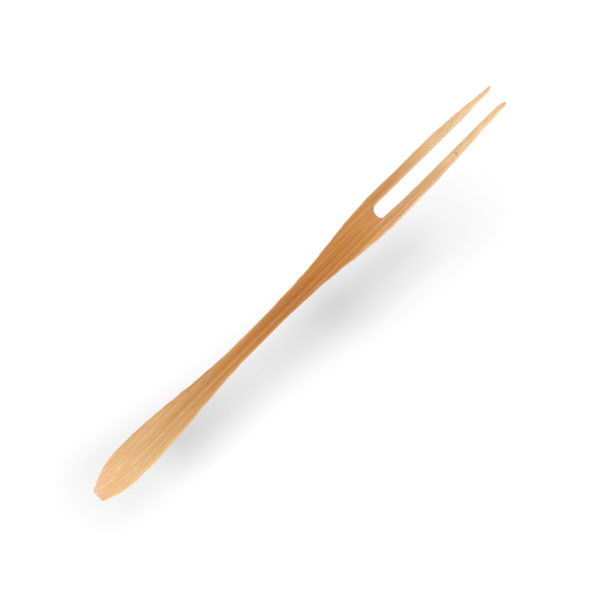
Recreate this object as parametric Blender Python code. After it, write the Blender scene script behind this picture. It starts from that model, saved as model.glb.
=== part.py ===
"""A small two-tined fork for party food, cut from one flat strip of bamboo.

The fork lies on its back. X runs along the grain, from the square butt of the handle to the two
points, Y runs across the grain to the left tine, and Z is up through the thickness of the strip.
The origin is in the middle of the footprint, on the underside. Lengths are in metres.

A blank is lofted from butt to points through rounded sections, with the leaf-shaped handle, the
straight neck and the flared head in its outline. Then the slot that parts the tines is cut out of it.
"""

import math

import bmesh
import bpy

# Lengths along the grain, one after another from the butt to the points
NOSE_LENGTH = 0.0092  # butt to the widest part of the handle
TAPER_LENGTH = 0.0219  # widest part of the handle to the neck
NECK_LENGTH = 0.0090
FLARE_LENGTH = 0.0254  # neck to the widest part of the head
TINE_LENGTH = 0.0245  # widest part of the head to the points
SLOT_SETBACK = 0.00264  # how far the slot runs back behind the widest part of the head
SLOT_ROOT_LENGTH = 0.0010  # the slot's rounded end, a little flatter than a half circle

# Widths across the grain
BUTT_WIDTH = 0.0019
HANDLE_WIDTH = 0.00568
NECK_WIDTH = 0.00258
SLOT_WIDTH = 0.00272
TINE_ROOT_WIDTH = 0.00165  # one tine, at the widest part of the head
TINE_TIP_WIDTH = 0.00058  # one tine, where its point begins

# Thickness of the strip, and the radius that its edges are sanded to
THICKNESS = 0.0018
EDGE_RADIUS = 0.00016

# The tines are ground thinner towards their points, mostly from below, so that the points lift a little
GRIND_LENGTH = 0.0065
POINT_THICKNESS = 0.0010
GRIND_SHARE_BELOW = 0.75

# The points: the left one is sharp and lies in its tine's outer edge, the right one is blunt
POINT_FLAT = 0.00012  # width left standing at the very end
LEFT_POINT_LENGTH = 0.0012  # stretch over which the slot side curves out to the left point
LEFT_POINT_CURVE = 3.0
RIGHT_POINT_LENGTH = 0.0011
RIGHT_POINT_CURVE = 2.0
RIGHT_POINT_DEPTH = 0.00024  # how far the slot side has come in at the right point
RIGHT_SLANT_LENGTH = 0.0002  # the blunt end, which slants in from the outer edge

# How the outline eases from one width to the next: 1 is a straight start or end, 2 a round one
NOSE_EASE = 2.8
TAPER_EASE = (1.6, 1.3)
FLARE_EASE = (1.75, 1.65)
TINE_EASE = 1.9
GRIND_EASE = 2.0

# Fineness of the mesh
NOSE_STEPS = 14
TAPER_STEPS = 24
FLARE_STEPS = 26
TINE_STEPS = 16
GRIND_STEPS = 7
POINT_STEPS = 8
ROOT_STEPS = 24
CORNER_STEPS = 3
SMOOTH_ANGLE = math.radians(35)

# Bare bamboo
BAMBOO_COLOR = (0.672, 0.366, 0.162, 1.0)
BAMBOO_ROUGHNESS = 0.55

# Stations and half widths that follow from the sizes
NECK_START_X = NOSE_LENGTH + TAPER_LENGTH
NECK_END_X = NECK_START_X + NECK_LENGTH
HEAD_X = NECK_END_X + FLARE_LENGTH
TIP_X = HEAD_X + TINE_LENGTH
GRIND_X = TIP_X - GRIND_LENGTH
POINTS_X = TIP_X - max(LEFT_POINT_LENGTH, RIGHT_POINT_LENGTH)
SLANT_X = TIP_X - RIGHT_SLANT_LENGTH
SLOT_STRAIGHT_X = HEAD_X - SLOT_SETBACK + SLOT_ROOT_LENGTH
SLOT_HALF = SLOT_WIDTH / 2
HEAD_HALF = SLOT_HALF + TINE_ROOT_WIDTH
TIP_HALF = SLOT_HALF + TINE_TIP_WIDTH


def clear_scene():
    """Empties the scene that the script starts in."""
    for thing in list(bpy.data.objects):
        bpy.data.objects.remove(thing, do_unlink=True)


def spread(start, end, steps, power=1.0):
    """Values from start up to, but not including, end. A power over 1 crowds them towards start."""
    return [start + (end - start) * (i / steps) ** power for i in range(steps)]


def ease(u, leave, arrive):
    """Goes from 0 to 1 with u. Larger exponents leave 0 and arrive at 1 more gently."""
    start = u**leave
    return start / (start + (1 - u) ** arrive)


def half_width(x):
    """Half the width of the blank at x from the butt, before its slot is cut and its ends are shaped."""
    if x < NOSE_LENGTH:
        drop = (1 - x / NOSE_LENGTH) ** NOSE_EASE
        return (HANDLE_WIDTH - (HANDLE_WIDTH - BUTT_WIDTH) * drop) / 2
    if x < NECK_START_X:
        share = ease((x - NOSE_LENGTH) / TAPER_LENGTH, *TAPER_EASE)
        return (HANDLE_WIDTH + (NECK_WIDTH - HANDLE_WIDTH) * share) / 2
    if x < NECK_END_X:
        return NECK_WIDTH / 2
    if x < HEAD_X:
        share = ease((x - NECK_END_X) / FLARE_LENGTH, *FLARE_EASE)
        return NECK_WIDTH / 2 + (HEAD_HALF - NECK_WIDTH / 2) * share
    return HEAD_HALF + (TIP_HALF - HEAD_HALF) * ((x - HEAD_X) / TINE_LENGTH) ** TINE_EASE


def right_half_width(x):
    """Half width on the right, where the last stretch slants in to the blunt point."""
    slanted = max(0.0, x - SLANT_X) / RIGHT_SLANT_LENGTH
    point = SLOT_HALF + RIGHT_POINT_DEPTH + POINT_FLAT
    return half_width(x) + (point - half_width(x)) * slanted


def faces_at(x):
    """Heights of the underside and the upper face at x, with the grinding of the tines."""
    share = min(1.0, max(0.0, (x - GRIND_X) / GRIND_LENGTH)) ** GRIND_EASE
    taken = max(0.0, THICKNESS - POINT_THICKNESS) * share
    return taken * GRIND_SHARE_BELOW, THICKNESS - taken * (1 - GRIND_SHARE_BELOW)


def edge_radius_at(x):
    """The sanded edge's radius at x, kept within the thickness there."""
    low, high = faces_at(x)
    return min(EDGE_RADIUS, (high - low) / 3)


def stations():
    """Every x that the blank has a section at."""
    butt = [EDGE_RADIUS * (1 - math.cos(math.pi / 2 * i / CORNER_STEPS)) for i in range(CORNER_STEPS)]
    nose = spread(EDGE_RADIUS, NOSE_LENGTH, NOSE_STEPS, power=1.5)
    taper = spread(NOSE_LENGTH, NECK_START_X, TAPER_STEPS)
    neck = [NECK_START_X]
    flare = spread(NECK_END_X, HEAD_X, FLARE_STEPS)
    tines = spread(HEAD_X, GRIND_X, TINE_STEPS) + spread(GRIND_X, POINTS_X, GRIND_STEPS)
    points = spread(POINTS_X, SLANT_X, POINT_STEPS) + [SLANT_X, TIP_X]
    return butt + nose + taper + neck + flare + tines + points


def section(bm, x):
    """Adds the blank's rounded section at x, as a ring that starts at its lower left edge."""
    low, high = faces_at(x)
    left, right = half_width(x), -right_half_width(x)
    if x < EDGE_RADIUS:
        sunk = EDGE_RADIUS - math.sqrt(EDGE_RADIUS**2 - (EDGE_RADIUS - x) ** 2)
        low, high, left, right = low + sunk, high - sunk, left - sunk, right + sunk
    radius = min(edge_radius_at(x), (left - right) / 3)
    corners = (
        (left - radius, low + radius, -90),
        (left - radius, high - radius, 0),
        (right + radius, high - radius, 90),
        (right + radius, low + radius, 180),
    )
    ring = []
    for y, z, start in corners:
        for step in range(CORNER_STEPS + 1):
            turn = math.radians(start + 90 * step / CORNER_STEPS)
            ring.append(bm.verts.new((x, y + radius * math.cos(turn), z + radius * math.sin(turn))))
    return ring


def loft(bm, rings):
    """Joins each ring to the next with quads and closes both ends."""
    for near, far in zip(rings, rings[1:]):
        for i in range(len(near)):
            j = (i + 1) % len(near)
            bm.faces.new((near[i], near[j], far[j], far[i]))
    bm.faces.new(rings[0])
    bm.faces.new(list(reversed(rings[-1])))
    bmesh.ops.recalc_face_normals(bm, faces=bm.faces[:])


def mesh_object(name, bm):
    """Turns the finished mesh into an object, moved so that its origin is half way along the fork."""
    bmesh.ops.translate(bm, verts=bm.verts[:], vec=(-TIP_X / 2, 0, 0))
    mesh = bpy.data.meshes.new(name)
    bm.to_mesh(mesh)
    bm.free()
    item = bpy.data.objects.new(name, mesh)
    bpy.context.scene.collection.objects.link(item)
    return item


def make_blank():
    """The strip cut to the fork's outline and ground thin at the points, still without its slot."""
    bm = bmesh.new()
    loft(bm, [section(bm, x) for x in stations()])
    return mesh_object("fork", bm)


def slot_side(point_length, depth, curve):
    """One side of the slot from its straight part to beyond the points: x and distance from the middle."""
    point_x = TIP_X - point_length
    overrun = TINE_ROOT_WIDTH
    side = [(x, SLOT_HALF) for x in spread(GRIND_X, point_x, GRIND_STEPS)]
    for step in range(POINT_STEPS + 1):
        share = step / POINT_STEPS
        side.append((point_x + point_length * share, SLOT_HALF + depth * share**curve))
    return side + [(TIP_X + overrun, SLOT_HALF + depth)]


def slot_outline():
    """The slot's outline from its right side round the root to the left: x, y and the way into the wood."""
    right = slot_side(RIGHT_POINT_LENGTH, RIGHT_POINT_DEPTH, RIGHT_POINT_CURVE)
    left = slot_side(LEFT_POINT_LENGTH, TINE_TIP_WIDTH - POINT_FLAT, LEFT_POINT_CURVE)
    outline = [(x, -y, 0.0, -1.0) for x, y in reversed(right)]
    for step in range(ROOT_STEPS + 1):
        turn = math.radians(270 - 180 * step / ROOT_STEPS)
        across, back = math.cos(turn) / SLOT_ROOT_LENGTH, math.sin(turn) / SLOT_HALF
        size = math.hypot(across, back)
        x = SLOT_STRAIGHT_X + SLOT_ROOT_LENGTH * math.cos(turn)
        outline.append((x, SLOT_HALF * math.sin(turn), across / size, back / size))
    return outline + [(x, y, 0.0, 1.0) for x, y in left]


def cutter_ring(bm, face, sunk, flare):
    """One ring of the slot cutter: sunk and flare are shares of the edge radius, below a face and outwards."""
    ring = []
    for x, y, out_x, out_y in slot_outline():
        radius = edge_radius_at(x)
        z = faces_at(x)[face] + radius * sunk
        ring.append(bm.verts.new((x + out_x * radius * flare, y + out_y * radius * flare, z)))
    return ring


def make_slot_cutter():
    """The solid that cuts the slot, flared at both faces so that the cut edges come out rounded."""
    bm = bmesh.new()
    overrun = THICKNESS / EDGE_RADIUS
    turns = [math.pi / 2 * step / CORNER_STEPS for step in range(CORNER_STEPS + 1)]
    rings = [cutter_ring(bm, 0, -overrun, 1)]
    rings += [cutter_ring(bm, 0, 1 - math.cos(turn), 1 - math.sin(turn)) for turn in turns]
    rings += [cutter_ring(bm, 1, math.cos(turn) - 1, 1 - math.sin(turn)) for turn in reversed(turns)]
    rings.append(cutter_ring(bm, 1, overrun, 1))
    loft(bm, rings)
    cutter = mesh_object("slot_cutter", bm)
    cutter.display_type = "WIRE"
    cutter.hide_render = True
    return cutter


def cut(item, cutter):
    """Takes the cutter out of the item."""
    modifier = item.modifiers.new("slot", "BOOLEAN")
    modifier.operation = "DIFFERENCE"
    modifier.solver = "EXACT"
    modifier.object = cutter


def finish_bamboo(item):
    """Shades the fork smooth up to its cut edges and gives it bare bamboo."""
    item.data.shade_smooth()
    item.data.set_sharp_from_angle(angle=SMOOTH_ANGLE)
    bamboo = bpy.data.materials.new("bamboo")
    bamboo.use_nodes = True
    shader = bamboo.node_tree.nodes["Principled BSDF"]
    shader.inputs["Base Color"].default_value = BAMBOO_COLOR
    shader.inputs["Roughness"].default_value = BAMBOO_ROUGHNESS
    shader.inputs["Metallic"].default_value = 0.0
    bamboo.diffuse_color = BAMBOO_COLOR
    item.data.materials.append(bamboo)


def build():
    """Makes the fork."""
    clear_scene()
    fork = make_blank()
    cut(fork, make_slot_cutter())
    finish_bamboo(fork)


build()
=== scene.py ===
"""The looks of a small two-tined fork for party food, cut from one flat strip of bamboo.

The fork lies on its back on a pale floor. X runs along the grain from the square butt of the handle to
the points, Y across the grain to the left tine, and Z up through the strip. Its mesh is made here again
round the same outline as the solid, but finer, with what a cutter and sandpaper leave on real bamboo.
The shape is worked out in millimetres from the butt, and is put into the frame in metres at the end.
"""

import math

import bmesh
import bpy
import numpy as np
from mathutils import Matrix, Vector


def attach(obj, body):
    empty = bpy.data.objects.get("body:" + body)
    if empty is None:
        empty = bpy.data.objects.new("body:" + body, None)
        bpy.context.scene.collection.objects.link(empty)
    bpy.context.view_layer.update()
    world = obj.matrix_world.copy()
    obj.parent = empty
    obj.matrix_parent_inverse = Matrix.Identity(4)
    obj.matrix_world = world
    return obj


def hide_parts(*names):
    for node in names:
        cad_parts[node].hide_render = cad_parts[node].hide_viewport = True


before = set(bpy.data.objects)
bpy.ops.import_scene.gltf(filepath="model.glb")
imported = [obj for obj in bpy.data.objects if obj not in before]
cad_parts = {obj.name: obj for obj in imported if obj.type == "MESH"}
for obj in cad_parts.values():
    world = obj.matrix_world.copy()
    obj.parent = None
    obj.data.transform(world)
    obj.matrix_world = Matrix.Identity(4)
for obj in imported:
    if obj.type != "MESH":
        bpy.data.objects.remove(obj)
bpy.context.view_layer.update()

MM = 0.001

# Lengths along the grain, one after another from the butt to the points
NOSE_LENGTH = 9.2
TAPER_LENGTH = 21.9
NECK_LENGTH = 9.0
FLARE_LENGTH = 25.4
TINE_LENGTH = 24.5
SLOT_SETBACK = 2.77
SLOT_ROOT_LENGTH = 1.2

# Widths across the grain
BUTT_WIDTH = 1.9
HANDLE_WIDTH = 5.68
NECK_WIDTH = 2.58
SLOT_WIDTH = 2.72
TINE_ROOT_WIDTH = 1.65
TINE_TIP_WIDTH = 0.58

# Thickness of the strip, its sanded edges, and the grinding of the tines towards the points
THICKNESS = 1.8
EDGE_RADIUS = 0.16
GRIND_LENGTH = 6.5
POINT_THICKNESS = 1.0
GRIND_SHARE_BELOW = 0.75

# The sanded edges: how uneven their radius is, how many radii go into a tine's width at least, and the
# stretch before the points where they sharpen
EDGE_UNEVENNESS = 0.25
EDGE_SPACING = 5.0
RADII_IN_TINE = 3
POINT_ROUNDING = 0.02
SHARPER_LENGTH = 1.2
SHARPER_EASE = 2

# The two points: the left one sharp, the right one blunt and a little shorter
LEFT_POINT_FLAT = 0.04
LEFT_POINT_LENGTH = 0.82
LEFT_POINT_CURVE = 2.0
LEFT_SHORTER = 0.05
RIGHT_POINT_FLAT = 0.24
RIGHT_POINT_LENGTH = 1.2
RIGHT_POINT_CURVE = 1.1
RIGHT_POINT_DEPTH = 0.3
RIGHT_SLANT_LENGTH = 0.34
RIGHT_SLANT_CURVE = 2.0
RIGHT_SHORTER = 0.2
SHORTER_LENGTH = 5.0

# How the outline eases from one width to the next
NOSE_EASE = 2.8
TAPER_EASE = (1.6, 1.3)
FLARE_EASE = (1.75, 1.65)
TINE_EASE = 1.9
GRIND_EASE = 2.0

# Stations and half widths that follow from the sizes
NECK_START_X = NOSE_LENGTH + TAPER_LENGTH
NECK_END_X = NECK_START_X + NECK_LENGTH
HEAD_X = NECK_END_X + FLARE_LENGTH
TIP_X = HEAD_X + TINE_LENGTH
GRIND_X = TIP_X - GRIND_LENGTH
SLANT_X = TIP_X - RIGHT_SLANT_LENGTH
SLOT_STRAIGHT_X = HEAD_X - SLOT_SETBACK + SLOT_ROOT_LENGTH
SLOT_HALF = SLOT_WIDTH / 2
HEAD_HALF = SLOT_HALF + TINE_ROOT_WIDTH
TIP_HALF = SLOT_HALF + TINE_TIP_WIDTH

# Where the cutter ran wide of the even outline or inside it: x from the butt, and how much further from
# the middle line. The slot's two sides are given in the same way. Nearly all stops of the two outer edges
# were picked and worked out from the photo by another script, and not by hand.
LEFT_TRIM = (
    (0.0, -0.27),
    (0.4, -0.2),
    (1.0, -0.26),
    (1.8, -0.29),
    (3.2, -0.2),
    (4.0, -0.15),
    (4.8, -0.09),
    (5.6, -0.035),
    (6.6, -0.02),
    (8.8, -0.05),
    (10.6, -0.03),
    (12.2, -0.06),
    (13.4, -0.02),
    (14.6, -0.07),
    (15.6, -0.02),
    (16.6, -0.08),
    (17.8, -0.04),
    (19.8, -0.09),
    (21.5, 0.0),
    (21.85, -0.05),
    (23.0, -0.1),
    (23.8, -0.05),
    (25.0, -0.07),
    (26.2, 0.0),
    (27.2, -0.03),
    (28.4, 0.02),
    (31.8, 0.03),
    (36.0, 0.0),
    (40.6, 0.05),
    (42.6, 0.13),
    (45.6, 0.06),
    (46.8, 0.12),
    (48.2, 0.01),
    (51.75, -0.045),
    (52.05, 0.0),
    (53.6, -0.02),
    (54.95, -0.075),
    (55.25, -0.005),
    (56.1, -0.03),
    (57.6, -0.06),
    (57.85, 0.015),
    (59.2, -0.04),
    (60.2, -0.01),
    (62.0, -0.03),
    (63.4, 0.01),
    (66.6, 0.0),
    (67.6, -0.04),
    (70.0, -0.1),
    (75.8, 0.05),
    (77.8, 0.12),
    (80.2, 0.08),
    (81.0, 0.06),
    (82.8, 0.07),
    (83.8, 0.0),
    (84.8, 0.0),
    (86.6, -0.11),
    (87.8, -0.1),
    (88.6, -0.17),
    (89.4, -0.12),
)
RIGHT_TRIM = (
    (0.0, 0.24),
    (0.4, 0.21),
    (1.2, 0.12),
    (4.8, 0.04),
    (6.2, -0.05),
    (8.8, -0.09),
    (11.4, -0.02),
    (13.0, -0.11),
    (14.6, -0.03),
    (16.4, -0.01),
    (17.2, 0.02),
    (19.6, 0.01),
    (21.4, -0.05),
    (23.0, 0.07),
    (24.0, 0.04),
    (27.0, 0.04),
    (27.8, 0.02),
    (29.8, 0.07),
    (31.4, -0.01),
    (35.0, 0.01),
    (39.6, -0.02),
    (41.6, -0.01),
    (42.6, 0.02),
    (46.2, 0.02),
    (49.0, -0.11),
    (51.8, -0.09),
    (53.0, -0.16),
    (54.6, -0.12),
    (55.4, -0.05),
    (56.2, -0.08),
    (57.2, -0.07),
    (58.2, -0.1),
    (59.6, -0.05),
    (60.2, -0.01),
    (62.2, -0.04),
    (63.6, 0.09),
    (65.4, 0.1),
    (67.6, 0.07),
    (68.4, -0.02),
    (70.2, -0.09),
    (73.0, -0.05),
    (73.8, -0.02),
    (74.6, -0.09),
    (76.2, -0.12),
    (77.6, -0.08),
    (78.8, -0.12),
    (81.8, -0.08),
    (84.4, -0.14),
    (85.6, -0.08),
    (86.2, -0.01),
    (87.6, -0.01),
    (88.2, 0.05),
    (89.4, 0.095),
)
LEFT_SLOT_TRIM = (
    (64.0, 0.08),
    (68.0, 0.06),
    (78.0, -0.005),
    (84.0, -0.01),
    (86.8, 0.085),
    (88.6, 0.055),
)
RIGHT_SLOT_TRIM = (
    (63.9, -0.25),
    (65.0, -0.2),
    (67.0, -0.12),
    (69.0, -0.09),
    (71.0, -0.05),
    (73.0, -0.04),
    (75.0, -0.05),
    (78.0, -0.035),
    (82.0, -0.04),
    (86.0, -0.03),
    (88.4, 0.035),
)

# The slot's rounded end: its middle, half its width, and how round its two corners are
ROOT_Y = (LEFT_SLOT_TRIM[0][1] - RIGHT_SLOT_TRIM[0][1]) / 2
ROOT_HALF = SLOT_HALF + (LEFT_SLOT_TRIM[0][1] + RIGHT_SLOT_TRIM[0][1]) / 2
LEFT_ROOT_CORNER = 0.93
RIGHT_ROOT_CORNER = 0.54

# The butt is cut a little short and a little askew
BUTT_SETBACK = 0.083
BUTT_SKEW = 0.066
BUTT_SKEW_LENGTH = 3.0
BUTT_SKEW_EASE = 2

# The small marks of the cutter along each edge, and along the cut wall
CUTTER_MARK = 0.008
CUTTER_SPACING = 0.6
WALL_MARK = 0.006
WALL_SPACING = 4.0

# Where the upper face's left edge was sanded rounder: x, and how many times the usual radius
LEFT_WORN = (
    (18.0, 1.0),
    (25.0, 1.6),
    (31.0, 2.5),
    (37.0, 3.1),
    (46.0, 3.1),
    (54.0, 2.2),
    (58.0, 1.1),
    (63.0, 1.1),
    (67.0, 1.7),
    (71.0, 1.0),
)

# An edge of the usual radius, and a wall without draft
EVEN = ((0.0, 1.0), (TIP_X, 1.0))
STRAIGHT = ((0.0, 0.0), (TIP_X, 0.0))

# The right wall stands out below the upper face where the handle and the head were cut
RIGHT_DRAFT = (
    (2.0, 0.0),
    (5.0, 0.025),
    (17.0, 0.025),
    (21.0, 0.0),
    (52.0, 0.0),
    (58.0, 0.1),
    (70.0, 0.12),
    (76.5, 0.08),
    (78.0, 0.0),
)

# The slot's left wall stands out below the upper face towards the points
SLOT_DRAFT = ((66.0, 0.0), (72.0, 0.04), (78.0, 0.065), (84.0, 0.065), (86.5, 0.0))

# Fibre bundles that show by themselves: y, first and last x, half their width, and how pale, or how
# dark where it is below zero. Each is also a shallow groove.
BUNDLES = (
    (-0.55, 5.5, 17.0, 0.15, 1.1),
    (-0.54, 14.0, 45.0, 0.15, 0.8),
    (-0.50, 44.0, 57.0, 0.13, 0.25),
    (-0.90, 9.0, 50.0, 0.15, -0.45),
    (-0.97, 46.0, 58.0, 0.17, -0.75),
    (-0.98, 55.0, 66.0, 0.20, -0.9),
    (-0.25, 10.0, 19.0, 0.17, -0.7),
    (0.03, 15.0, 51.0, 0.20, -1.2),
    (0.00, 48.0, 61.0, 0.14, -1.0),
    (0.30, 47.0, 64.0, 0.14, 0.4),
    (1.79, 13.0, 18.5, 0.16, 1.1),
    (1.50, 15.0, 24.0, 0.16, 0.4),
    (1.00, 14.0, 30.0, 0.20, 0.5),
    (0.95, 9.5, 14.5, 0.30, 0.5),
    (0.30, 2.5, 9.5, 0.30, 0.8),
    (0.85, 6.5, 10.5, 0.25, -0.5),
    (-1.61, 7.0, 21.0, 0.12, 0.7),
    (-1.36, 7.5, 17.5, 0.14, -0.7),
    (-1.92, 10.0, 15.5, 0.12, -0.7),
    (-2.30, 5.0, 18.0, 0.18, 0.9),
    (2.50, 5.5, 15.0, 0.20, -1.5),
    (2.05, 2.5, 9.0, 0.30, -0.9),
    (0.15, -3.0, 5.0, 0.30, 0.8),
    (-1.45, -3.0, 4.5, 0.20, -0.8),
    (-0.80, -3.0, 6.5, 0.16, -0.7),
    (0.83, 46.5, 64.5, 0.14, 1.35),
    (1.35, 45.0, 56.0, 0.20, 0.8),
    (1.00, 28.5, 44.0, 0.26, 1.0),
    (1.12, 40.5, 49.0, 0.30, 1.0),
    (-1.38, 47.0, 67.0, 0.11, 0.65),
    (-1.38, 54.0, 65.0, 0.09, 0.6),
    (-0.37, 55.0, 66.0, 0.10, 0.8),
    (2.20, 57.0, 64.5, 0.14, -0.9),
    (2.02, 62.0, 70.0, 0.28, -1.0),
    (2.30, 70.0, 80.0, 0.20, 0.9),
    (1.75, 72.0, 77.5, 0.12, 0.5),
    (1.65, 76.5, 84.0, 0.12, -0.7),
    (-1.72, 62.5, 73.0, 0.20, 0.8),
    (-2.12, 62.0, 72.5, 0.14, -0.5),
    (-2.40, 56.0, 73.0, 0.15, 1.3),
    (-2.34, 71.5, 77.5, 0.14, -1.0),
    (-2.00, 70.5, 73.5, 0.10, -0.8),
    (-1.66, 76.0, 85.0, 0.12, -1.0),
    (-1.90, 74.5, 80.0, 0.09, 0.5),
)
GROOVE_DEPTH = 0.012
GROOVE_FADE = 2.0

# Finer grooves between the bundles: their spacing, how far each may be off it, where the earliest may
# start, and the least and the most of a length, half a width and a depth. They sway together.
FIBRE_SPACING = 0.21
FIBRE_OFFSET = 0.08
FIBRE_START = -10
FIBRE_LENGTHS = (15, 45)
FIBRE_HALF_WIDTHS = (0.05, 0.1)
FIBRE_DEPTHS = (0.3, 0.9)
FIBRE_FADE = 4.0
FIBRE_SWAY = 0.08
FIBRE_SWAY_SPACING = 14.0

# The sanding's own small waves along the faces
SANDING_MARK = 0.003
SANDING_SPACING = 1.3

# Seeds of the random draws: each face's grooves and sanded edges, each cut edge's marks, and the wall's
UPPER_SEED = 3
LOWER_SEED = 5
LEFT_EDGE_SEED = 12
RIGHT_EDGE_SEED = 22
LEFT_SLOT_SEED = 32
RIGHT_SLOT_SEED = 42
WALL_SEED = 60

# Fineness of the mesh, and the angle from which an edge is shaded sharp
STATION_STEP = 0.165
FINE_STEP = 0.05
FINE_LENGTH = 1.4
ROOT_STEPS = 26
COLUMNS = 22
ROUND_STEPS = 4
WALL_STEPS = 6
SHARP_ANGLE = math.radians(50)


def along(stops, x):
    """Runs smoothly through (x, value) stops, and stays level beyond the first and the last."""
    places, values = np.array(stops).T
    at = np.clip(x, places[0], places[-1])
    last = np.clip(np.searchsorted(places, at, side="right"), 1, len(places) - 1)
    share = (at - places[last - 1]) / (places[last] - places[last - 1])
    share = share * share * (3 - 2 * share)
    return values[last - 1] + (values[last] - values[last - 1]) * share


def drift(seed, x, spacing):
    """A smooth random curve between -1 and 1, with a new value at each spacing."""
    knots = np.arange(-2, int(2 * TIP_X / spacing) + 3)
    values = np.random.default_rng(seed).uniform(-1, 1, len(knots))
    return along(np.c_[knots * spacing, values], x)


def ease(u, leave, arrive):
    """Goes from 0 to 1 with u. Larger exponents leave 0 and arrive at 1 more gently."""
    start = u**leave
    return start / (start + (1 - u) ** arrive)


def share_of(x, start, length):
    """How far x has come along a stretch, from 0 to 1."""
    return np.clip((x - start) / length, 0, 1)


def half_width(x):
    """Half the fork's width at x, by its even outline."""
    nose = HANDLE_WIDTH - (HANDLE_WIDTH - BUTT_WIDTH) * (1 - share_of(x, 0, NOSE_LENGTH)) ** NOSE_EASE
    narrowing = ease(share_of(x, NOSE_LENGTH, TAPER_LENGTH), *TAPER_EASE)
    widening = ease(share_of(x, NECK_END_X, FLARE_LENGTH), *FLARE_EASE)
    bowing = share_of(x, HEAD_X, TINE_LENGTH) ** TINE_EASE
    handle = (nose + (NECK_WIDTH - HANDLE_WIDTH) * narrowing) / 2
    return handle + (HEAD_HALF - NECK_WIDTH / 2) * widening + (TIP_HALF - HEAD_HALF) * bowing


def cutter_marks(seed, x):
    """The small unevenness that the cutter leaves along an edge."""
    return CUTTER_MARK * drift(seed, x, CUTTER_SPACING)


def left_edge(x):
    """Distance of the left edge from the middle line."""
    edge = half_width(x) + along(LEFT_TRIM, x) + cutter_marks(LEFT_EDGE_SEED, x)
    return np.minimum(edge, HEAD_HALF)


def right_edge(x):
    """Distance of the right edge from the middle line, with the slant to the blunt point."""
    edge = half_width(x) + along(RIGHT_TRIM, x) + cutter_marks(RIGHT_EDGE_SEED, x)
    edge = np.minimum(edge, HEAD_HALF)
    point = right_slot_side(x) + RIGHT_POINT_FLAT
    return edge + (point - edge) * share_of(x, SLANT_X, RIGHT_SLANT_LENGTH) ** RIGHT_SLANT_CURVE


def left_slot_side(x):
    """Distance of the slot's left side from the middle line: it curves out to the sharp point."""
    side = SLOT_HALF + along(LEFT_SLOT_TRIM, x) + cutter_marks(LEFT_SLOT_SEED, x)
    depth = left_edge(x) - LEFT_POINT_FLAT - side
    return side + depth * share_of(x, TIP_X - LEFT_POINT_LENGTH, LEFT_POINT_LENGTH) ** LEFT_POINT_CURVE


def right_slot_side(x):
    """Distance of the slot's right side from the middle line."""
    side = SLOT_HALF + along(RIGHT_SLOT_TRIM, x) + cutter_marks(RIGHT_SLOT_SEED, x)
    share = share_of(x, TIP_X - RIGHT_POINT_LENGTH, RIGHT_POINT_LENGTH)
    return side + RIGHT_POINT_DEPTH * share**RIGHT_POINT_CURVE


def faces_at(x):
    """Heights of the underside and the upper face at x, with the grinding of the tines."""
    taken = (THICKNESS - POINT_THICKNESS) * share_of(x, GRIND_X, GRIND_LENGTH) ** GRIND_EASE
    return taken * GRIND_SHARE_BELOW, THICKNESS - taken * (1 - GRIND_SHARE_BELOW)


def bundle_strength(x, y):
    """How strongly the fibre bundles run through the points x, y. It is 0 between them."""
    strength = np.zeros(np.broadcast(x, y).shape)
    for middle, start, end, half, pale in BUNDLES:
        across = np.exp(-(((y - middle) / half) ** 2))
        within = share_of(x, start, GROOVE_FADE) * (1 - share_of(x, end - GROOVE_FADE, GROOVE_FADE))
        strength = np.maximum(strength, abs(pale) * across * within)
    return strength


def fibre_relief(seed, x, y):
    """Depth below the sanded face at the points x, y: grooves along the fibres, and the sanding."""
    strength = bundle_strength(x, y)
    rng = np.random.default_rng(seed)
    for middle in np.arange(-HEAD_HALF, HEAD_HALF, FIBRE_SPACING):
        middle = middle + rng.uniform(-FIBRE_OFFSET, FIBRE_OFFSET)
        start = rng.uniform(FIBRE_START, TIP_X + FIBRE_START)
        length = rng.uniform(*FIBRE_LENGTHS)
        half = rng.uniform(*FIBRE_HALF_WIDTHS)
        depth = rng.uniform(*FIBRE_DEPTHS)
        sway = FIBRE_SWAY * drift(seed, x, FIBRE_SWAY_SPACING)
        across = np.exp(-(((y - middle - sway) / half) ** 2))
        within = share_of(x, start, FIBRE_FADE) * (1 - share_of(x, start + length, FIBRE_FADE))
        strength = np.maximum(strength, depth * across * within)
    return GROOVE_DEPTH * strength + SANDING_MARK * (1 + drift(seed + 5, x, SANDING_SPACING))


def edge_radius(x, width, worn, seed):
    """The sanded edge's radius, uneven along the fork and kept within the tine's width and thickness."""
    low, high = faces_at(x)
    worn = EDGE_RADIUS * along(worn, x) * (1 + EDGE_UNEVENNESS * drift(seed, x, EDGE_SPACING))
    radius = np.minimum(np.minimum(worn, width / RADII_IN_TINE), (high - low) / RADII_IN_TINE)
    sharper = share_of(x, TIP_X - SHARPER_LENGTH, SHARPER_LENGTH) ** SHARPER_EASE
    return radius + (POINT_ROUNDING - radius) * sharper


def stations():
    """Every x of the mesh before and after the slot's rounded end."""
    root = SLOT_STRAIGHT_X - SLOT_ROOT_LENGTH - EDGE_RADIUS
    steps = round(FINE_LENGTH / FINE_STEP)
    butt = np.linspace(EDGE_RADIUS, FINE_LENGTH, steps, endpoint=False)
    body = np.linspace(FINE_LENGTH, root, round((root - FINE_LENGTH) / STATION_STEP))
    tines = np.arange(SLOT_STRAIGHT_X + STATION_STEP, TIP_X - FINE_LENGTH, STATION_STEP)
    points = np.linspace(TIP_X - FINE_LENGTH, TIP_X - POINT_ROUNDING, steps)
    return np.r_[butt, body], np.r_[tines, points]


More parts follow.
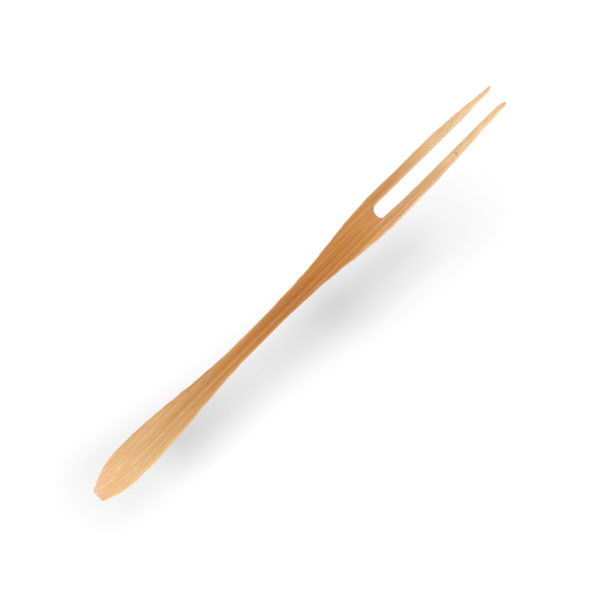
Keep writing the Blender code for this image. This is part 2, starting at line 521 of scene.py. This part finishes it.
def slot_root(turn, corner):
    """The slot's end at a turn from its deepest point, set into the wood by the edge's rounding.

    A corner of 1 gives a plain round end, and a smaller one is squarer.
    """
    depth, reach = np.cos(turn), np.sin(turn)
    back = -(depth ** (2 - corner)) / SLOT_ROOT_LENGTH
    across = reach ** (2 - corner) / ROOT_HALF
    size = np.hypot(back, across)
    x = SLOT_STRAIGHT_X - SLOT_ROOT_LENGTH * depth**corner + EDGE_RADIUS * back / size
    y = ROOT_HALF * reach**corner + EDGE_RADIUS * across / size
    return x, y


def half_face(edge, slot_side, draft, slot_draft, worn, seed):
    """One half of a face: the x and y of its grid, and the radius of the rounding at its rims.

    The grid has a row at each station and runs from the middle line, or from the slot, out to the edge.
    """
    side = 1 if edge is left_edge else -1
    before, after = stations()
    turn = np.linspace(0, math.pi / 2, ROOT_STEPS + 1)[1:]
    root_x, root_y = slot_root(turn, LEFT_ROOT_CORNER if side > 0 else RIGHT_ROOT_CORNER)
    x = np.r_[before, root_x, after]
    width = np.where(x > SLOT_STRAIGHT_X, edge(x) - slot_side(x), 2 * edge(x))
    outer_radius = edge_radius(x, width, worn, seed)
    slot_radius = edge_radius(after, width[-len(after) :], EVEN, seed + 1)
    outer_radius[0] = EDGE_RADIUS
    outer_radius[-1] = slot_radius[-1] = POINT_ROUNDING
    rim = edge(x) - along(draft, x)
    outer = rim - outer_radius * np.hypot(1, np.gradient(rim, x))
    slot_rim = slot_side(after) + along(slot_draft, after)
    slot = slot_rim + slot_radius * np.hypot(1, np.gradient(slot_rim, after))
    middle = side * ROOT_Y
    inner = np.r_[np.full(len(before), middle), middle + root_y, slot]
    inner_radius = np.r_[np.full(len(before) + len(root_x), EDGE_RADIUS), slot_radius]
    share = np.linspace(0, 1, COLUMNS + 1)
    across = inner[:, None] + (outer - inner)[:, None] * share
    radius = inner_radius[:, None] + (outer_radius - inner_radius)[:, None] * share
    radius[0] = EDGE_RADIUS
    radius[-1] = POINT_ROUNDING
    return np.broadcast_to(x[:, None], across.shape), side * across, radius


def moved(x, y):
    """x moved at the butt, which is cut a little askew, and at the tines, which end a little short."""
    slant = BUTT_SETBACK + BUTT_SKEW * (y / BUTT_WIDTH + 0.5)
    x = x + slant * (1 - share_of(x, 0, BUTT_SKEW_LENGTH)) ** BUTT_SKEW_EASE
    shorter = np.where(y < 0, RIGHT_SHORTER, LEFT_SHORTER)
    x = x - shorter * share_of(x, TIP_X - SHORTER_LENGTH, SHORTER_LENGTH)
    return np.maximum(x, 0)


def round_the_rim(left, right, root):
    """The values along the rim of two half grids, counter-clockwise from the butt's right corner."""
    return np.concatenate(
        [
            right[:, -1],
            right[-1, -2::-1],
            right[-2:root:-1, 0],
            left[root:, 0],
            left[-1, 1:],
            left[-2::-1, -1],
            left[0, -2::-1],
            right[0, 1:-1],
        ]
    )


def outward(rim):
    """For a closed row of x, y places: how each moves if all its sides move outwards by one."""
    step = np.roll(rim, -1, axis=0) - rim
    step = step / np.linalg.norm(step, axis=1, keepdims=True)
    square = np.stack([step[:, 1], -step[:, 0]], axis=1)
    before = np.roll(square, 1, axis=0)
    return (square + before) / (1 + np.sum(square * before, axis=1, keepdims=True))


class Skin:
    """Collects the places and the four-sided faces of one closed mesh."""

    def __init__(self):
        self.places = np.zeros((0, 3))
        self.faces = []

    def add(self, x, y, z):
        """Adds places and returns their numbers, in the arrays' own shape."""
        grid = np.stack(np.broadcast_arrays(x, y, z), axis=-1)
        numbers = len(self.places) + np.arange(grid[..., 0].size).reshape(grid.shape[:-1])
        self.places = np.concatenate([self.places, grid.reshape(-1, 3)])
        return numbers

    def cover(self, numbers):
        """Adds a face between each four neighbours of a grid of numbers."""
        corners = (numbers[:-1, :-1], numbers[1:, :-1], numbers[1:, 1:], numbers[:-1, 1:])
        self.faces.append(np.stack([corner.ravel() for corner in corners], axis=1))

    def mesh(self, name):
        """The finished mesh in the frame's metres, without the places that no face uses."""
        used, faces = np.unique(np.concatenate(self.faces), return_inverse=True)
        places = (self.places[used] - (TIP_X / 2, 0, 0)) * MM
        mesh = bpy.data.meshes.new(name)
        mesh.from_pydata(places.tolist(), [], faces.reshape(-1, 4).tolist())
        bm = bmesh.new()
        bm.from_mesh(mesh)
        bmesh.ops.recalc_face_normals(bm, faces=bm.faces[:])
        bm.to_mesh(mesh)
        bm.free()
        return mesh


def add_face(skin, upper, seed):
    """Adds the upper face or the underside, and returns its rim: numbers and radii."""
    if upper:
        right_draft, slot_draft, worn = RIGHT_DRAFT, SLOT_DRAFT, LEFT_WORN
    else:
        right_draft, slot_draft, worn = STRAIGHT, STRAIGHT, EVEN
    left = half_face(left_edge, left_slot_side, STRAIGHT, slot_draft, worn, seed)
    right = half_face(right_edge, right_slot_side, right_draft, STRAIGHT, EVEN, seed + 10)
    root = len(stations()[0]) - 1
    halves = []
    for x, y, _ in (left, right):
        low, high = faces_at(x)
        relief = fibre_relief(seed, x, y)
        halves.append(skin.add(moved(x, y), y, high - relief if upper else low + relief))
    halves[1][: root + 1, 0] = halves[0][: root + 1, 0]
    skin.cover(halves[0])
    skin.cover(halves[1])
    return round_the_rim(*halves, root), round_the_rim(left[2], right[2], root)


def rounded_rings(places, radius, way):
    """Rings that lead over a rounded edge, from the rim of a face to the top or bottom of the wall."""
    out = outward(places[:, :2])
    rings = []
    for step in range(1, ROUND_STEPS + 1):
        turn = math.pi / 2 * step / ROUND_STEPS
        across = places[:, :2] + out * radius[:, None] * math.sin(turn)
        rings.append(np.c_[across, places[:, 2] - way * radius * (1 - math.cos(turn))])
    return rings, out


def add_wall(skin, upper_rim, lower_rim):
    """Adds the rounded edges and the cut wall between the rims of the two faces, all round the fork."""
    upper, out = rounded_rings(skin.places[upper_rim[0]], upper_rim[1], 1)
    lower = rounded_rings(skin.places[lower_rim[0]], lower_rim[1], -1)[0]
    rings = list(upper)
    for step in range(1, WALL_STEPS):
        share = step / WALL_STEPS
        ring = upper[-1] * (1 - share) + lower[-1] * share
        marks = WALL_MARK * drift(WALL_SEED + step, ring[:, 0], WALL_SPACING) - WALL_MARK
        ring[:, :2] += out * marks[:, None]
        rings.append(ring)
    rings += reversed(lower)
    numbers = [upper_rim[0]] + [skin.add(*ring.T) for ring in rings] + [lower_rim[0]]
    closed = np.stack(numbers)
    skin.cover(np.c_[closed, closed[:, :1]])


def make_fork():
    """The fork as one closed mesh."""
    skin = Skin()
    upper_rim = add_face(skin, True, UPPER_SEED)
    lower_rim = add_face(skin, False, LOWER_SEED)
    add_wall(skin, upper_rim, lower_rim)
    mesh = skin.mesh("bamboo_fork")
    mesh.shade_smooth()
    mesh.set_sharp_from_angle(angle=SHARP_ANGLE)
    fork = bpy.data.objects.new("bamboo_fork", mesh)
    # Keeps the fork's colour off the floor
    fork.visible_diffuse = False
    bpy.context.scene.collection.objects.link(fork)
    return fork


class Wire:
    """An output socket that sums can be written with: each operator adds its Math node."""

    def __init__(self, finish, socket):
        self.finish = finish
        self.socket = socket

    def other(self, name):
        """Another output of the same node."""
        return Wire(self.finish, self.socket.node.outputs[name])

    def math(self, operation, *others):
        """A Math node with this value first."""
        return self.finish.math(operation, self, *others)

    def __add__(self, value):
        return self.math("ADD", value)

    def __sub__(self, value):
        return self.math("SUBTRACT", value)

    def __mul__(self, value):
        return self.math("MULTIPLY", value)

    def __rsub__(self, value):
        return self.finish.math("SUBTRACT", value, self)

    def __abs__(self):
        return self.math("ABSOLUTE")

    def shifted(self, distance):
        """A place moved by the same distance on each axis."""
        return self.finish.node("VectorMath", {"operation": "ADD"}, {0: self, 1: (distance,) * 3})

    __radd__ = __add__
    __rmul__ = __mul__


class Finish:
    """The node tree of a material or of the world, with what is used again and again in it."""

    def __init__(self, owner):
        owner.use_nodes = True
        self.owner = owner
        self.tree = owner.node_tree
        self.tree.nodes.clear()

    def node(self, kind, settings=None, sockets=None, output=0):
        """Adds a node: first its settings, then the values or links of its sockets."""
        node = self.tree.nodes.new("ShaderNode" + kind)
        for name, value in (settings or {}).items():
            if name == "stops":
                self.set_stops(node.color_ramp, value)
            else:
                setattr(node, name, value)
        for name, value in (sockets or {}).items():
            if isinstance(value, Wire):
                self.tree.links.new(value.socket, node.inputs[name])
            else:
                node.inputs[name].default_value = value
        return Wire(self, node.outputs[output]) if len(node.outputs) else None

    @staticmethod
    def set_stops(ramp, stops):
        """Gives a ramp these (place, colour) stops."""
        while len(ramp.elements) > 1:
            ramp.elements.remove(ramp.elements[-1])
        for number, (place, colour) in enumerate(stops):
            element = ramp.elements[0] if number == 0 else ramp.elements.new(place)
            element.position = place
            element.color = colour

    def math(self, operation, *values):
        """A Math node with these values in its sockets."""
        return self.node("Math", {"operation": operation}, dict(enumerate(values)))

    def smooth(self, value, low, high):
        """0 where the value is below low, 1 above high, and a smooth rise between."""
        settings = {"interpolation_type": "SMOOTHSTEP"}
        return self.node("MapRange", settings, {0: value, 1: low, 2: high})

    def stretched(self, place, size):
        """A place divided by a size on each axis, which is the size of a noise's grains there."""
        scale = [1 / length for length in size]
        return self.node("VectorMath", {"operation": "MULTIPLY"}, {0: place, 1: scale})

    def noise(self, place, size):
        """Noise with grains of about this size in millimetres along x, y and z, centred on 0."""
        sockets = {"Vector": self.stretched(place, size), "Scale": 1.0, "Detail": 1.0}
        return self.node("TexNoise", {"noise_dimensions": "3D"}, sockets) - 0.5

    def within(self, value, rise, fall):
        """0 before the rise, 1 from its end to the start of the fall, and 0 after the fall."""
        return self.smooth(value, *rise) * (1 - self.smooth(value, *fall))

    def spot(self, place, middle, size, rim):
        """1 in a spot, and 0 beyond its rim, whose start and end are shares of its size."""
        off = self.node("VectorMath", {"operation": "SUBTRACT"}, {0: place, 1: middle})
        settings = {"operation": "LENGTH"}
        away = self.node("VectorMath", settings, {0: self.stretched(off, size)}, output="Value")
        return 1 - self.smooth(away, *rim)

    def mix(self, share, first, second):
        """The second colour over the first by a share."""
        return self.node("Mix", {"data_type": "RGBA"}, {0: share, 6: first, 7: second}, output=2)


def tint(red, green, blue):
    """A colour by its 0 to 255 values on a screen."""
    return (red / 255, green / 255, blue / 255, 1.0)


# Bare bamboo along the fork, from the butt to the points. Another script worked these tones out from mean
# colours in the photo.
TONES = (
    (0.0, tint(246, 198, 151)),
    (4.0, tint(238, 191, 140)),
    (9.0, tint(227, 179, 126)),
    (13.0, tint(220, 171, 118)),
    (17.0, tint(211, 160, 105)),
    (21.5, tint(203, 150, 94)),
    (26.0, tint(198, 143, 86)),
    (34.0, tint(195, 132, 76)),
    (39.0, tint(190, 128, 71)),
    (44.0, tint(186, 122, 65)),
    (53.0, tint(193, 127, 67)),
    (56.0, tint(198, 133, 73)),
    (60.0, tint(204, 141, 82)),
    (66.0, tint(207, 150, 99)),
    (69.0, tint(208, 155, 105)),
    (72.0, tint(212, 163, 110)),
    (74.5, tint(221, 175, 124)),
    (77.0, tint(228, 186, 140)),
    (80.5, tint(231, 193, 147)),
    (84.0, tint(236, 194, 147)),
    (88.0, tint(238, 195, 144)),
    (90.0, tint(236, 187, 131)),
)

# The cut walls and the sanded edges: the outer ones on the left and on the right, and inside the slot.
# Their tones are partly the paler colour of cut bamboo and partly painted light and shade: painted light
# on the left edges and the slot's upper edges, and painted shade on the right wall along the neck.
# They were typed in from differences measured between the photo and a render.
LEFT_WALL_TONES = (
    (0.0, tint(255, 222, 176)),
    (5.0, tint(254, 216, 170)),
    (9.0, tint(254, 214, 168)),
    (17.0, tint(250, 210, 168)),
    (25.0, tint(246, 200, 152)),
    (34.0, tint(246, 192, 142)),
    (44.0, tint(250, 192, 146)),
    (52.0, tint(252, 192, 138)),
    (56.0, tint(252, 194, 134)),
    (60.0, tint(242, 184, 126)),
    (68.0, tint(254, 214, 174)),
    (73.0, tint(244, 198, 150)),
    (77.0, tint(246, 201, 148)),
    (80.0, tint(250, 212, 162)),
    (90.0, tint(252, 212, 162)),
)
RIGHT_WALL_TONES = (
    (0.0, tint(255, 211, 138)),
    (9.0, tint(255, 207, 134)),
    (14.0, tint(255, 206, 138)),
    (18.0, tint(255, 200, 136)),
    (28.0, tint(230, 161, 93)),
    (36.0, tint(205, 131, 66)),
    (44.0, tint(208, 133, 71)),
    (52.0, tint(221, 149, 81)),
    (59.0, tint(240, 177, 124)),
    (68.0, tint(253, 206, 163)),
    (71.5, tint(238, 184, 128)),
    (73.5, tint(237, 184, 128)),
    (78.0, tint(247, 201, 147)),
    (86.0, tint(255, 216, 168)),
    (90.0, tint(254, 210, 158)),
)
SLOT_WALL_TONES = (
    (62.0, tint(228, 172, 112)),
    (70.0, tint(232, 180, 124)),
    (76.0, tint(248, 204, 144)),
    (84.0, tint(254, 214, 152)),
    (90.0, tint(250, 208, 148)),
)
# Painted shade on the lower part of the slot's walls
SLOT_PAINTED_SHADE = tint(184, 158, 134)
END_GRAIN = tint(218, 166, 114)
BUNDLE_END = tint(158, 100, 60)
TIP_STAIN = tint(236, 166, 98)
ROOT_SHADE = tint(150, 112, 92)
SPECK = tint(176, 118, 100)

# Grains of the wood, in millimetres along x, y and z
WANDER_SIZE = (30, 400, 400)
WIDE_SIZE = (50, 1.6, 2.5)
STREAK_SIZE = (45, 0.55, 0.9)
SHORT_SIZE = (9.0, 0.4, 0.6)
FLECK_SIZE = (1.6, 0.34, 0.43)
MOTTLE_SIZE = (0.7, 0.3, 0.35)
BUNDLE_END_SIZE = (4.0, 0.42, 0.42)

# How far the streaks wander across the strip, and how strongly each grain shows in the tone
WANDER = 0.2
WIDE_TONE = 0.07
STREAK_TONE = 0.12
SHORT_TONE = 0.08
FLECK_TONE = 0.05
END_FLECK_TONE = 0.07
ROSY_TONE = 0.12
YELLOW_TONE = 0.28
YELLOW_SHIFT = 17.0

# Where more flecks show: before the end of the first stretch, and after the start of the second
BUTT_FLECKS = (4.0, 16.0)
POINT_FLECKS = (72.0, 84.0)

# How strongly a bundle shows, where its tone is full and where it ends as shares of half its width, the
# length over which it fades in and out, and how much of it is even or broken by short grains and flecks
BUNDLE_TONE = 0.05
BUNDLE_CORE = 0.3
BUNDLE_RIM = 1.8
BUNDLE_FADE = 3
BUNDLE_EVEN = 0.9
BUNDLE_BREAKS = 1.2
BUNDLE_FLECKS = 0.8

# How much red, green and blue a pale fibre gains and a dark one loses
FIBRE_GAIN = (0.75, 1.0, 1.05)

# Steepness at which the tone of a wall begins and is full: 0 lies level, and 1 stands upright
LEFT_WALL_STEEP = (0.01, 0.4)
RIGHT_WALL_STEEP = (0.25, 0.9)
SLOT_WALL_STEEP = (0.05, 0.6)
ROOT_SHADE_STEEP = (0.02, 0.3)

# How a surface has to face to count as a left one, as one outside the slot, and as an end
FACING_BLEND = (-0.1, 0.1)
OUTSIDE_BLEND = (-0.15, 0.15)
END_FACING = (0.8, 0.95)

# The painted shade low on the slot's walls, towards the underside: the stretches where it comes and goes,
# and the height where it ends
SLOT_SHADE_RISE = (67.0, 76.0)
SLOT_SHADE_FALL = (84.0, 87.0)
SLOT_SHADE_TOP = (0.3, 0.8)

# The stain at the points, and the fainter one further back on the left tine
TIP_STAIN_LENGTH = 1.2
TIP_STAIN_STRENGTH = 0.55
TIP_STAIN_UNEVENNESS = 0.5
LEFT_STAIN_RISE = (TIP_X - 3.0, TIP_X - 1.6)
LEFT_STAIN_SIDE = (0.0, 0.5)
LEFT_STAIN_STRENGTH = 0.3

# Spots, each by its middle, its size and the shares of that size between which it fades: the painted
# shade at the slot's root, and the two parts of a speck
ROOT_SPOT = ((64.4, -1.3, THICKNESS), (1.6, 0.5, 0.3), (0.3, 1.0))
ROOT_SHADE_STRENGTH = 0.8
SPECK_RIM = (0.2, 1.4)
LARGE_SPECK = ((78.6, -2.05, THICKNESS), (0.26, 0.22, 0.5), SPECK_RIM)
SMALL_SPECK = ((78.45, -2.4, THICKNESS), (0.2, 0.14, 0.5), SPECK_RIM)
LARGE_SPECK_STRENGTH = 0.65
SMALL_SPECK_STRENGTH = 0.35

# Cut ends of bundles in the end grain: where a dot begins to fade, where it ends, and how strong it is
DOT_RIM = (0.22, 0.34)
DOT_STRENGTH = 0.8

# The surface: shares of the grains in its relief, how rough it is, and how little it shines
RELIEF_STREAK = 0.5
RELIEF_SHORT = 0.4
RELIEF_MOTTLE = 0.2
RELIEF_DEPTH = 0.03
RELIEF_STRENGTH = 0.5
ROUGHNESS = 0.6
ROUGHNESS_CHANGE = 0.2
SHINE = 0.1
SCREEN_GAMMA = 2.2


def bamboo_material():
    """Bare sanded bamboo: pale and dark fibres along the strip, with paler cut walls and end grain, and
    painted light and shade on the walls and in the slot.
    """
    finish = Finish(bpy.data.materials.new("bamboo"))
    coordinates = finish.node("TexCoord", output="Object")
    from_butt = {0: coordinates, 1: (1 / MM,) * 3, 2: (TIP_X / 2, 0, 0)}
    place = finish.node("VectorMath", {"operation": "MULTIPLY_ADD"}, from_butt)
    x = finish.node("SeparateXYZ", {}, {0: place})
    y, z = x.other("Y"), x.other("Z")
    facing_x = finish.node("SeparateXYZ", {}, {0: coordinates.other("Normal")})
    facing_left, facing_up = facing_x.other("Y"), facing_x.other("Z")

    def tone_along(tones):
        stops = [(at / TIP_X, colour) for at, colour in tones]
        return finish.node("ValToRGB", {"stops": stops}, {0: x * (1 / TIP_X)})

    wander = finish.noise(place, WANDER_SIZE) * WANDER
    wavy = finish.node("CombineXYZ", {}, {0: x, 1: y + wander, 2: z})
    wide = finish.noise(wavy, WIDE_SIZE)
    streak = finish.noise(wavy, STREAK_SIZE)
    short = finish.noise(wavy, SHORT_SIZE)
    fleck = finish.noise(wavy, FLECK_SIZE)
    rosy = finish.noise(place, MOTTLE_SIZE)
    yellow = finish.noise(place.shifted(YELLOW_SHIFT), MOTTLE_SIZE)

    # Fibres
    ends = 1 - finish.smooth(x, *BUTT_FLECKS) + finish.smooth(x, *POINT_FLECKS)
    fibre = wide * WIDE_TONE + streak * STREAK_TONE + short * SHORT_TONE
    fibre = fibre + fleck * (FLECK_TONE + ends * END_FLECK_TONE)
    broken = BUNDLE_EVEN + short * BUNDLE_BREAKS + fleck * BUNDLE_FLECKS
    for middle, start, end, half, pale in BUNDLES:
        across = 1 - finish.smooth(abs(y + wander - middle), half * BUNDLE_CORE, half * BUNDLE_RIM)
        lengthways = finish.within(x, (start, start + BUNDLE_FADE), (end - BUNDLE_FADE, end))
        fibre = fibre + across * lengthways * broken * (pale * BUNDLE_TONE)

    # Cut walls, partly painted light and shade, with painted shade low in the slot
    steep = 1 - abs(facing_up)
    on_left = finish.smooth(facing_left, *FACING_BLEND)
    outside = finish.smooth(facing_left * y, *OUTSIDE_BLEND)
    left_wall = finish.smooth(steep, *LEFT_WALL_STEEP) * on_left
    right_wall = finish.smooth(steep, *RIGHT_WALL_STEEP) * (1 - on_left)
    slot_wall = finish.smooth(steep, *SLOT_WALL_STEEP) * (1 - outside)
    # Painted shade on the slot's walls towards the underside
    slot_shaded = finish.within(x, SLOT_SHADE_RISE, SLOT_SHADE_FALL) * (1 - finish.smooth(z, *SLOT_SHADE_TOP))
    slot_tone = finish.mix(slot_shaded, tone_along(SLOT_WALL_TONES), SLOT_PAINTED_SHADE)
    tone = finish.mix(left_wall, tone_along(TONES), tone_along(LEFT_WALL_TONES))
    tone = finish.mix(right_wall, tone, tone_along(RIGHT_WALL_TONES))
    tone = finish.mix(slot_wall, tone, slot_tone)
    # Painted shade at the slot's root, on its steep rim
    root = finish.spot(place, *ROOT_SPOT) * finish.smooth(steep, *ROOT_SHADE_STEEP)
    tone = finish.mix(root * ROOT_SHADE_STRENGTH, tone, ROOT_SHADE)

    # Fibres and mottling over the tone
    red = fibre * FIBRE_GAIN[0] + rosy * ROSY_TONE
    green = fibre * FIBRE_GAIN[1] - rosy * ROSY_TONE
    blue = fibre * FIBRE_GAIN[2] + yellow * YELLOW_TONE
    vary = finish.node("CombineXYZ", {}, {0: red, 1: green, 2: blue})
    colour = finish.node("VectorMath", {"operation": "ADD"}, {0: tone, 1: vary})

    # End grain
    dots = {"Vector": finish.stretched(place, BUNDLE_END_SIZE), "Scale": 1.0}
    dot = 1 - finish.smooth(finish.node("TexVoronoi", {}, dots), *DOT_RIM)
    end_colour = finish.mix(dot * DOT_STRENGTH, END_GRAIN, BUNDLE_END)
    colour = finish.mix(finish.smooth(abs(facing_x), *END_FACING), colour, end_colour)

    # Stained points and the speck on the right tine
    uneven_x = x + streak * TIP_STAIN_UNEVENNESS
    stain = finish.smooth(uneven_x, TIP_X - TIP_STAIN_LENGTH, TIP_X) * TIP_STAIN_STRENGTH
    left_stain = finish.smooth(x, *LEFT_STAIN_RISE) * finish.smooth(y, *LEFT_STAIN_SIDE)
    stain = stain.math("MAXIMUM", left_stain * LEFT_STAIN_STRENGTH)
    colour = finish.mix(stain, colour, TIP_STAIN)
    speck = finish.spot(place, *LARGE_SPECK) * LARGE_SPECK_STRENGTH
    speck = speck + finish.spot(place, *SMALL_SPECK) * SMALL_SPECK_STRENGTH
    colour = finish.mix(speck, colour, SPECK)

    # Relief and sheen
    height = streak * RELIEF_STREAK + short * RELIEF_SHORT + rosy * RELIEF_MOTTLE
    relief = {"Height": height, "Distance": RELIEF_DEPTH * MM, "Strength": RELIEF_STRENGTH}
    surface = {
        "Base Color": finish.node("Gamma", {}, {"Color": colour, "Gamma": SCREEN_GAMMA}),
        "Roughness": ROUGHNESS + short * ROUGHNESS_CHANGE,
        "Specular IOR Level": SHINE,
        "Normal": finish.node("Bump", {}, relief),
    }
    finish.node("OutputMaterial", {}, {0: finish.node("BsdfPrincipled", {}, surface)})
    return finish.owner


# Light, as what each source gives a level white surface: the sky lights all, the next three the fork
# and the windows the floor, so that each gets about 1
SKY_LEVEL = 0.25
OVERHEAD_LEVEL = 0.34
RIGHT_LEVEL = 0.23
LEFT_LEVEL = 0.18
WINDOW_LEVEL = 0.328
WIDE_WINDOW_LEVEL = 0.464

# How wide each lamp looks, in degrees, and where the side lamps and the windows stand
OVERHEAD_SPREAD = 20
SIDE_SPREAD = 30
WINDOW_SPREAD = 1.63
WIDE_WINDOW_SPREAD = 2.98
SIDE_RISE = math.radians(32)
WINDOW_DIRECTION = Vector((-0.2, 0.5, 0.85)).normalized()

# The flags, one between each window and the floor: the fork's shape, a little turned and smaller. Their
# soft shadows fall beside the fork, mostly on its right. Their distance is in metres. An optimiser
# fitted the flags and the windows to the photo's shadow.
FLAG = {"middle": (-6.03, -4.52), "turn": -4.1, "scale": (0.611, 0.918, 0.8)}
WIDE_FLAG = {"middle": (-7.54, -4.02), "turn": -7.3, "scale": (0.889, 0.747, 0.8)}
FLAG_DISTANCE = 0.25

# The floor: its grey, what it glows to show as white, its reach in metres, and its drop below the fork
FLOOR_COLOR = 0.8
FLOOR_GLOW = 0.179
FLOOR_REACH = 3.0
FLOOR_DROP = 0.02

# The photograph's view, with distances in metres
CAMERA_TILT = math.radians(8)
CAMERA_ROLL = math.radians(45)
CAMERA_TARGET = Vector((-0.315, -0.764, 0.0)) * MM
CAMERA_DISTANCE = 1.5
VIEW_WIDTH = 95.07 * MM
SENSOR_WIDTH = 36.0
CAMERA_CLIP = (0.01, 20)


def seen_directly(finish):
    """1 for the rays that show a background as it is: to the camera, or by gloss or glass."""
    camera = finish.node("LightPath", output="Is Camera Ray")
    seen = camera + camera.other("Is Glossy Ray") + camera.other("Is Transmission Ray")
    return seen.math("MINIMUM", 1.0)


def make_floor():
    """A plain pale floor under the fork."""
    finish = Finish(bpy.data.materials.new("floor_paper"))
    paper = finish.node("BsdfDiffuse", {}, {"Color": (FLOOR_COLOR,) * 3 + (1.0,)})
    glow = finish.node("Emission", {}, {"Strength": seen_directly(finish) * FLOOR_GLOW})
    finish.node("OutputMaterial", {}, {0: finish.node("AddShader", {}, {0: paper, 1: glow})})
    mesh = bpy.data.meshes.new("floor")
    low, high = -FLOOR_REACH, FLOOR_REACH
    corners = [(low, low, 0), (high, low, 0), (high, high, 0), (low, high, 0)]
    mesh.from_pydata(corners, [], [(0, 1, 2, 3)])
    mesh.materials.append(finish.owner)
    floor = bpy.data.objects.new("floor", mesh)
    floor.location.z = -FLOOR_DROP * MM
    bpy.context.scene.collection.objects.link(floor)
    return floor


def make_flag(name, fork, flag):
    """A flag between a window and the floor. Only its shadow shows."""
    item = bpy.data.objects.new(name, fork.data)
    item.location = Vector((*flag["middle"], 0)) * MM + WINDOW_DIRECTION * FLAG_DISTANCE
    item.rotation_euler.z = math.radians(flag["turn"])
    item.scale = flag["scale"]
    item.visible_camera = item.visible_diffuse = item.visible_glossy = False
    item.visible_transmission = item.visible_volume_scatter = False
    bpy.context.scene.collection.objects.link(item)
    return item


def make_world():
    """Even pale light from all round, seen as white behind the floor."""
    world = bpy.data.worlds.new("studio")
    bpy.context.scene.world = world
    finish = Finish(world)
    strength = SKY_LEVEL + seen_directly(finish) * (1 - SKY_LEVEL)
    sky = finish.node("Background", {}, {"Color": (1, 1, 1, 1), "Strength": strength})
    finish.node("OutputWorld", {}, {0: sky})


def group(name, item):
    """A collection that holds one object, for a lamp to be kept to."""
    found = bpy.data.collections.new(name)
    found.objects.link(item)
    return found


def make_sun(name, towards, level, spread, lit, shade=None):
    """A far lamp for one object alone, which it gives this level where it lies flat.

    Where a shade is given, only that blocks the lamp's light.
    """
    lamp = bpy.data.lights.new(name, "SUN")
    direction = Vector(towards).normalized()
    lamp.energy = level * math.pi / direction.z
    lamp.angle = math.radians(spread)
    sun = bpy.data.objects.new(name, lamp)
    sun.rotation_euler = direction.to_track_quat("Z", "Y").to_euler()
    sun.light_linking.receiver_collection = group("lit_by_" + name, lit)
    if shade:
        sun.light_linking.blocker_collection = group("shading_" + name, shade)
    bpy.context.scene.collection.objects.link(sun)


def make_lamps(fork, floor):
    """Three soft lamps for the fork, from above and from both sides, and two windows for the floor."""
    overhead = (0, -math.sin(CAMERA_TILT), math.cos(CAMERA_TILT))
    make_sun("overhead_lamp", overhead, OVERHEAD_LEVEL, OVERHEAD_SPREAD, fork)
    right = (0, -math.cos(SIDE_RISE), math.sin(SIDE_RISE))
    left = (0, math.cos(SIDE_RISE), math.sin(SIDE_RISE))
    make_sun("right_lamp", right, RIGHT_LEVEL, SIDE_SPREAD, fork)
    make_sun("left_lamp", left, LEFT_LEVEL, SIDE_SPREAD, fork)
    flag = make_flag("window_flag", fork, FLAG)
    make_sun("window", WINDOW_DIRECTION, WINDOW_LEVEL, WINDOW_SPREAD, floor, flag)
    flag = make_flag("wide_window_flag", fork, WIDE_FLAG)
    make_sun("wide_window", WINDOW_DIRECTION, WIDE_WINDOW_LEVEL, WIDE_WINDOW_SPREAD, floor, flag)


def make_camera():
    """The photograph's view: from above, a little tilted, with the fork across the square."""
    camera = bpy.data.cameras.new("camera")
    camera.sensor_width = SENSOR_WIDTH
    camera.lens = SENSOR_WIDTH * CAMERA_DISTANCE / VIEW_WIDTH
    camera.clip_start, camera.clip_end = CAMERA_CLIP
    back = Vector((0, -math.sin(CAMERA_TILT), math.cos(CAMERA_TILT)))
    along_fork = Vector((1, 0, 0))
    across_fork = back.cross(along_fork)
    right = along_fork * math.cos(CAMERA_ROLL) - across_fork * math.sin(CAMERA_ROLL)
    up = along_fork * math.sin(CAMERA_ROLL) + across_fork * math.cos(CAMERA_ROLL)
    turn = Matrix((right, up, back)).transposed().to_4x4()
    item = bpy.data.objects.new("camera", camera)
    item.matrix_world = Matrix.Translation(CAMERA_TARGET + back * CAMERA_DISTANCE) @ turn
    bpy.context.scene.collection.objects.link(item)
    bpy.context.scene.camera = item


fork = make_fork()
fork.data.materials.append(bamboo_material())
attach(fork, "root")
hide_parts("fork")

make_camera()
make_world()
make_lamps(fork, make_floor())
bpy.context.scene.view_settings.view_transform = "Standard"
